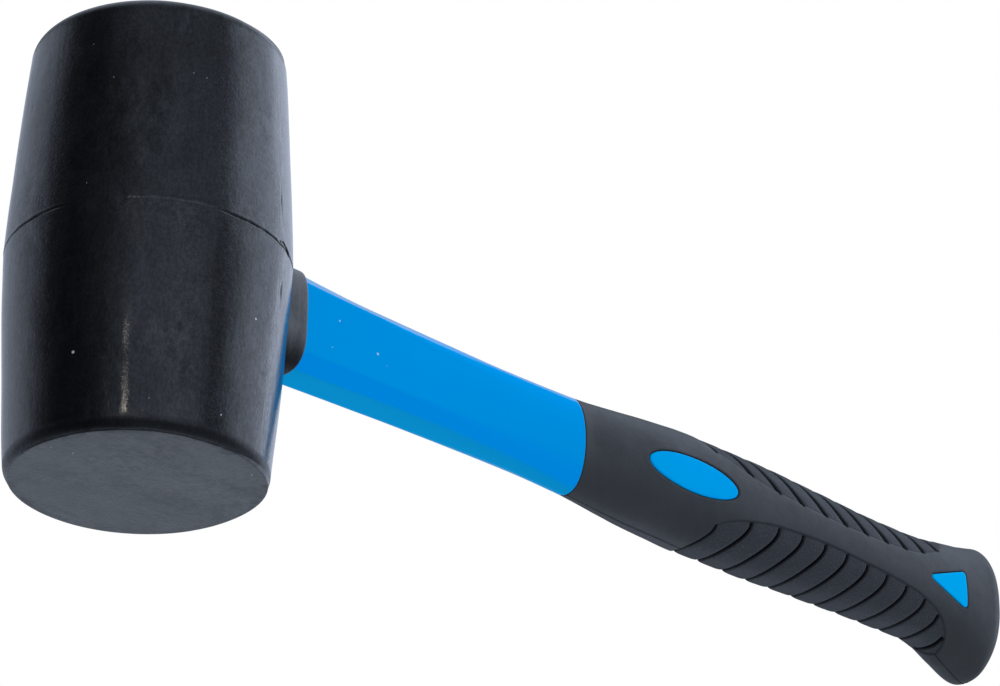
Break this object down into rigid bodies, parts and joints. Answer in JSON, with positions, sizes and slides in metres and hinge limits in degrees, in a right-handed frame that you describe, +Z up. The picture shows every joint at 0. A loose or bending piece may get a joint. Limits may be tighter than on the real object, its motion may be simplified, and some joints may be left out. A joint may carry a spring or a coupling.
{
  "type": "rubber mallet",
  "caption": "Barrel-shaped black rubber mallet head on a two-colour moulded handle with a fibreglass core, a neck collar and a soft grip that flares at the butt.",
  "frame": {"origin": "centre of the lower striking face", "axes": "+Z up the head's axis from the lower striking face to the upper one, +X along the handle from the head to the butt, +Y across the handle's thickness"},
  "size_m": [0.3779, 0.075, 0.1234],
  "materials": {
    "head_rubber": "semi-gloss moulded",
    "epoxy": "cast, glossy",
    "collar_elastomer": "matte",
    "blue_plastic": "satin moulded",
    "fibreglass": "sawn end, matte",
    "grip_elastomer": "matte, stippled",
    "blue_inlay": "satin moulded"
  },
  "bodies": {
    "root": {"rubber_head": "head_rubber", "eye_adhesive": "epoxy", "neck_collar": "collar_elastomer", "handle_jacket": "blue_plastic", "fibreglass_core": "fibreglass", "grip_sleeve": "grip_elastomer", "oval_badge_left": "blue_inlay", "oval_badge_right": "blue_inlay", "triangle_inlay_left": "blue_inlay", "triangle_inlay_right": "blue_inlay"}
  },
  "joints": []
}
